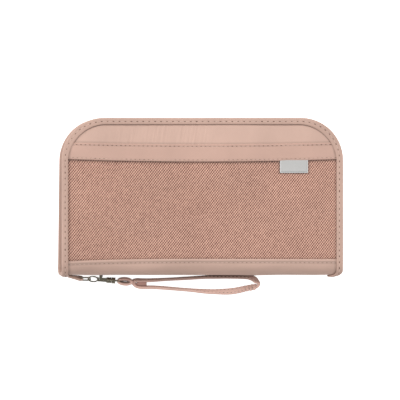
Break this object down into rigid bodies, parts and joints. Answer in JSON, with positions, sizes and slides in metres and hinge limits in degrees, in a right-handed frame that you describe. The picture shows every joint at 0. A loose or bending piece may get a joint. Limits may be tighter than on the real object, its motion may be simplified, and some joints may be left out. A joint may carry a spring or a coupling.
{
  "type": "travel document wallet",
  "caption": "Zip-around travel wallet with a woven slip pocket on the front, a rounded spine and a wrist strap on a swivel clasp.",
  "frame": {"origin": "on the rear cover's outer face, midway across the wallet", "axes": "+X to the right and +Y away from the spine as the front cover is read, +Z out of the front cover"},
  "size_m": [0.25, 0.1545, 0.023],
  "materials": {
    "smooth_fabric": "plain-weave polyester, matt",
    "woven_fabric": "ballistic-weave polyester, matt",
    "binding": "folded binding tape, stitched",
    "label": "woven tape, bare",
    "board": "stiff sheet",
    "lining": "thin lining cloth",
    "tape": "zip tape",
    "teeth": "nylon coil",
    "nickel": "polished nickel plate on zinc",
    "spring_steel": "drawn steel",
    "strap": "folded and stitched strap"
  },
  "bodies": {
    "rear_cover": {"rear_binding": "binding", "rear_board": "board", "rear_bottom_band": "smooth_fabric", "rear_lining": "lining", "rear_panel": "woven_fabric", "card_pocket_1": "lining", "card_pocket_2": "lining", "card_pocket_3": "lining", "passport_pocket": "lining", "zip_tape_rear": "tape", "zip_teeth_rear": "teeth"},
    "spine": {"spine_panel": "smooth_fabric", "spine_lining": "lining", "spine_binding_left": "binding", "spine_binding_right": "binding", "strap_tab": "smooth_fabric"},
    "front_cover": {"front_base_panel": "smooth_fabric", "front_binding": "binding", "front_board": "board", "front_bottom_band": "smooth_fabric", "front_lining": "lining", "pocket_band": "smooth_fabric", "woven_panel": "woven_fabric", "woven_label": "label", "ticket_pocket": "lining", "zip_tape_front": "tape", "zip_teeth_front": "teeth"},
    "zip_slider": {"zip_slider": "nickel"},
    "zip_pull": {"zip_pull": "nickel"},
    "ring": {"ring": "nickel"},
    "clasp": {"clasp_hook": "nickel", "lever_pin": "spring_steel", "strap_lap": "strap", "wrist_loop": "strap"},
    "clasp_lever": {"clasp_lever": "nickel"},
    "swivel": {"swivel_eye": "nickel", "strap_short_loop": "strap"}
  },
  "joints": [
    {"name": "spine_fold", "type": "hinge", "parent": "rear_cover", "child": "spine", "pos_m": [0, -0.06728, 0.0038], "axis": [1, 0, 0], "range_deg": [0, 90]},
    {"name": "cover_fold", "type": "hinge", "parent": "spine", "child": "front_cover", "pos_m": [0, -0.06728, 0.0192], "axis": [1, 0, 0], "range_deg": [0, 90]},
    {"name": "zip_slide", "type": "slide", "parent": "rear_cover", "child": "zip_slider", "axis": [0, 1, 0], "range_m": [0, 0.076]},
    {"name": "pull_swing", "type": "hinge", "parent": "zip_slider", "child": "zip_pull", "pos_m": [0.1236, -0.0512, 0.0115], "axis": [0, 0, -1], "range_deg": [0, 165]},
    {"name": "ring_swing", "type": "hinge", "parent": "spine", "child": "ring", "pos_m": [-0.1056, -0.0728, 0.0049], "axis": [0, 0, -1], "range_deg": [0, 90]},
    {"name": "clasp_swing", "type": "hinge", "parent": "ring", "child": "clasp", "pos_m": [-0.0977, -0.0728, 0.0046], "axis": [0, 0, -1], "range_deg": [0, 75]},
    {"name": "lever_press", "type": "hinge", "parent": "clasp", "child": "clasp_lever", "pos_m": [-0.08954, -0.07227, 0.0046], "axis": [0, 0, 1], "range_deg": [0, 25], "stiffness_Nm_per_rad": 0.01, "springref_deg": -5.73},
    {"name": "swivel_spin", "type": "hinge", "parent": "clasp", "child": "swivel", "pos_m": [-0.0977, -0.0728, 0.0046], "axis": [0.9976, -0.0698, 0], "continuous": true}
  ],
  "couplings": [
    {"joint": "spine_fold", "follows": "cover_fold", "ratio": 1}
  ]
}
